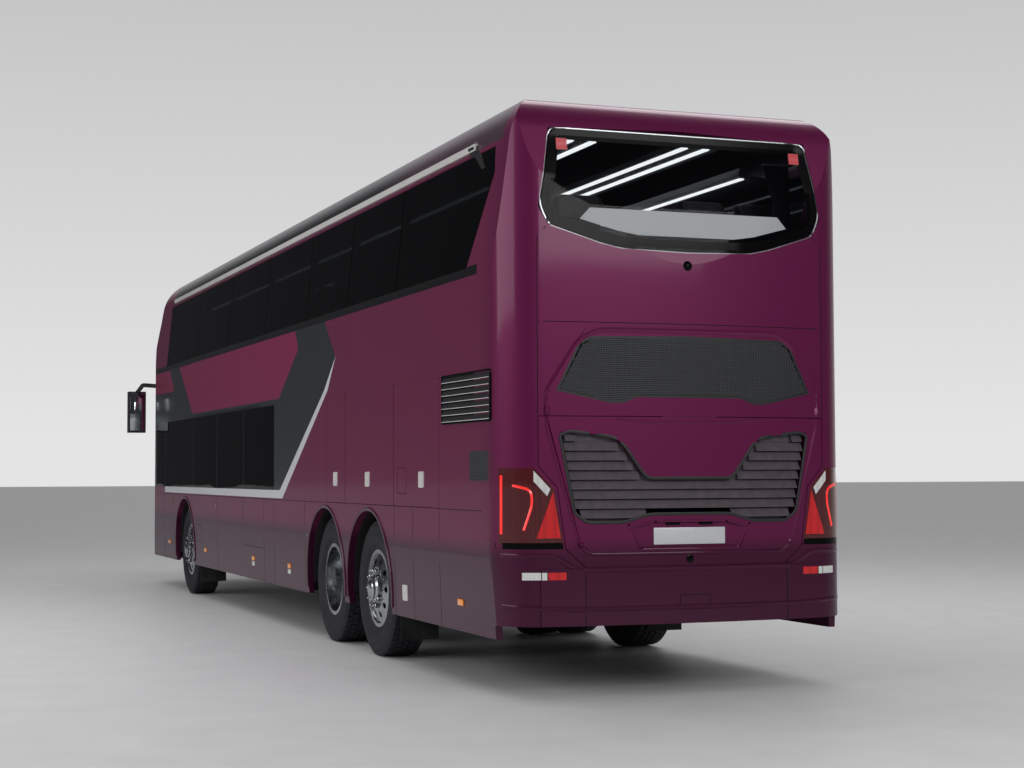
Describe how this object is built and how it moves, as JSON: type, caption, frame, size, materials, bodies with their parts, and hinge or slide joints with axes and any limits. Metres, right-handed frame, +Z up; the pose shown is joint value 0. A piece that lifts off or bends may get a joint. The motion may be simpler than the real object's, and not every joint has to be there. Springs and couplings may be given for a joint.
{
  "type": "double-deck coach",
  "caption": "Three-axle double-deck touring coach with glazed decks, swing-out doors, opening engine lid and luggage flaps, steered wheels and louvred rear.",
  "frame": {"origin": "middle of the vehicle's box on the ground", "axes": "+X forward, +Y to the left, +Z up"},
  "size_m": [14.11, 3.1, 3.9998],
  "materials": {
    "body_paint": "gloss metallic",
    "roof_paint": "gloss metallic",
    "rail_metal": "satin",
    "tinted_glass": "tinted",
    "lamp_red": "clear",
    "lamp_clear": "clear",
    "grille_black": "satin",
    "black_plastic": "matte",
    "chassis_steel": "matte",
    "engine_iron": "cast",
    "floor_covering": "matte",
    "seat_fabric": "woven",
    "rim_alloy": "polished",
    "tyre_rubber": "matte",
    "flap_rubber": "matte"
  },
  "bodies": {
    "coach": {"underframe": "chassis_steel", "upper_deck_floor": "floor_covering", "stairs": "black_plastic", "left_side_lower": "body_paint", "right_side_lower": "body_paint", "left_side_upper": "body_paint", "right_side_upper": "body_paint", "roof": "roof_paint", "roof_rails": "rail_metal", "front_mask": "body_paint", "front_bumper": "body_paint", "rear_frame": "body_paint", "rear_bumper": "body_paint", "mesh_grille": "grille_black", "windscreens": "tinted_glass", "rear_glass": "tinted_glass", "left_windows": "tinted_glass", "right_windows": "tinted_glass", "tail_lamps": "lamp_red", "headlamps": "lamp_clear", "mirrors": "black_plastic", "upper_deck_seats": "seat_fabric", "lower_deck_seats": "seat_fabric", "driver_cockpit": "black_plastic", "engine_block": "engine_iron", "front_axle": "chassis_steel", "tag_axle": "chassis_steel", "drive_axle": "chassis_steel", "wheel_arch_liners": "black_plastic", "mud_flaps": "flap_rubber"},
    "front_left_knuckle": {"front_left_knuckle": "chassis_steel"},
    "front_left_wheel": {"front_left_tyre": "tyre_rubber", "front_left_rim": "rim_alloy"},
    "front_right_knuckle": {"front_right_knuckle": "chassis_steel"},
    "front_right_wheel": {"front_right_tyre": "tyre_rubber", "front_right_rim": "rim_alloy"},
    "tag_left_knuckle": {"tag_left_knuckle": "chassis_steel"},
    "tag_left_wheel": {"tag_left_tyre": "tyre_rubber", "tag_left_rim": "rim_alloy"},
    "tag_right_knuckle": {"tag_right_knuckle": "chassis_steel"},
    "tag_right_wheel": {"tag_right_tyre": "tyre_rubber", "tag_right_rim": "rim_alloy"},
    "drive_left_wheel": {"drive_left_tyre": "tyre_rubber", "drive_left_rim": "rim_alloy"},
    "drive_right_wheel": {"drive_right_tyre": "tyre_rubber", "drive_right_rim": "rim_alloy"},
    "engine_lid": {"engine_lid": "body_paint", "louvre_grille": "grille_black"},
    "left_luggage_flap_1": {"left_luggage_flap_1": "body_paint"},
    "left_luggage_flap_2": {"left_luggage_flap_2": "body_paint"},
    "left_luggage_flap_3": {"left_luggage_flap_3": "body_paint"},
    "right_luggage_flap_1": {"right_luggage_flap_1": "body_paint"},
    "right_luggage_flap_2": {"right_luggage_flap_2": "body_paint"},
    "front_door_arms": {"front_door_arms": "chassis_steel"},
    "front_door": {"front_door": "body_paint", "front_door_glass": "tinted_glass"},
    "mid_door_arms": {"mid_door_arms": "chassis_steel"},
    "mid_door": {"mid_door": "body_paint", "mid_door_glass": "tinted_glass"}
  },
  "joints": [
    {"name": "front_left_steer", "type": "hinge", "parent": "coach", "child": "front_left_knuckle", "pos_m": [4.205, 0.921, 0.538], "axis": [0, 0, 1], "range_deg": [-45, 45]},
    {"name": "front_left_spin", "type": "hinge", "parent": "front_left_knuckle", "child": "front_left_wheel", "pos_m": [4.205, 1.06, 0.538], "axis": [0, 1, 0], "continuous": true},
    {"name": "front_right_steer", "type": "hinge", "parent": "coach", "child": "front_right_knuckle", "pos_m": [4.205, -0.921, 0.538], "axis": [0, 0, 1], "range_deg": [-45, 45]},
    {"name": "front_right_spin", "type": "hinge", "parent": "front_right_knuckle", "child": "front_right_wheel", "pos_m": [4.205, -1.06, 0.538], "axis": [0, 1, 0], "continuous": true},
    {"name": "tag_left_steer", "type": "hinge", "parent": "coach", "child": "tag_left_knuckle", "pos_m": [-3.845, 0.921, 0.538], "axis": [0, 0, 1], "range_deg": [-12, 12]},
    {"name": "tag_left_spin", "type": "hinge", "parent": "tag_left_knuckle", "child": "tag_left_wheel", "pos_m": [-3.845, 1.06, 0.538], "axis": [0, 1, 0], "continuous": true},
    {"name": "tag_right_steer", "type": "hinge", "parent": "coach", "child": "tag_right_knuckle", "pos_m": [-3.845, -0.921, 0.538], "axis": [0, 0, 1], "range_deg": [-12, 12]},
    {"name": "tag_right_spin", "type": "hinge", "parent": "tag_right_knuckle", "child": "tag_right_wheel", "pos_m": [-3.845, -1.06, 0.538], "axis": [0, 1, 0], "continuous": true},
    {"name": "drive_left_spin", "type": "hinge", "parent": "coach", "child": "drive_left_wheel", "pos_m": [-2.495, 1.06, 0.538], "axis": [0, 1, 0], "continuous": true},
    {"name": "drive_right_spin", "type": "hinge", "parent": "coach", "child": "drive_right_wheel", "pos_m": [-2.495, -1.06, 0.538], "axis": [0, 1, 0], "continuous": true},
    {"name": "engine_lid_hinge", "type": "hinge", "parent": "coach", "child": "engine_lid", "pos_m": [-7.0528, 0, 1.8205], "axis": [0, 1, 0], "range_deg": [0, 80]},
    {"name": "left_luggage_flap_1_hinge", "type": "hinge", "parent": "coach", "child": "left_luggage_flap_1", "pos_m": [-5.105, 1.2728, 2.1275], "axis": [1, 0, 0], "range_deg": [0, 90]},
    {"name": "left_luggage_flap_2_hinge", "type": "hinge", "parent": "coach", "child": "left_luggage_flap_2", "pos_m": [-3.855, 1.2728, 2.1275], "axis": [1, 0, 0], "range_deg": [0, 90]},
    {"name": "left_luggage_flap_3_hinge", "type": "hinge", "parent": "coach", "child": "left_luggage_flap_3", "pos_m": [-2.86, 1.2728, 2.1275], "axis": [1, 0, 0], "range_deg": [0, 90]},
    {"name": "right_luggage_flap_1_hinge", "type": "hinge", "parent": "coach", "child": "right_luggage_flap_1", "pos_m": [-5.105, -1.2728, 2.1275], "axis": [-1, 0, 0], "range_deg": [0, 90]},
    {"name": "right_luggage_flap_2_hinge", "type": "hinge", "parent": "coach", "child": "right_luggage_flap_2", "pos_m": [-3.855, -1.2728, 2.1275], "axis": [-1, 0, 0], "range_deg": [0, 90]},
    {"name": "front_door_swing", "type": "hinge", "parent": "coach", "child": "front_door_arms", "pos_m": [5.965, -1.16, 0.44], "axis": [0, 0, 1], "range_deg": [0, 150]},
    {"name": "front_door_turn", "type": "hinge", "parent": "front_door_arms", "child": "front_door", "pos_m": [5.545, -1.16, 0.76], "axis": [0, 0, 1], "range_deg": [-150, 0]},
    {"name": "mid_door_swing", "type": "hinge", "parent": "coach", "child": "mid_door_arms", "pos_m": [-0.745, -1.16, 0.44], "axis": [0, 0, 1], "range_deg": [0, 150]},
    {"name": "mid_door_turn", "type": "hinge", "parent": "mid_door_arms", "child": "mid_door", "pos_m": [-1.165, -1.16, 0.76], "axis": [0, 0, 1], "range_deg": [-150, 0]}
  ],
  "couplings": [
    {"joint": "front_right_steer", "follows": "front_left_steer", "ratio": 1},
    {"joint": "tag_left_steer", "follows": "front_left_steer", "ratio": -0.25},
    {"joint": "tag_right_steer", "follows": "front_left_steer", "ratio": -0.25},
    {"joint": "front_door_turn", "follows": "front_door_swing", "ratio": -1},
    {"joint": "mid_door_turn", "follows": "mid_door_swing", "ratio": -1}
  ]
}
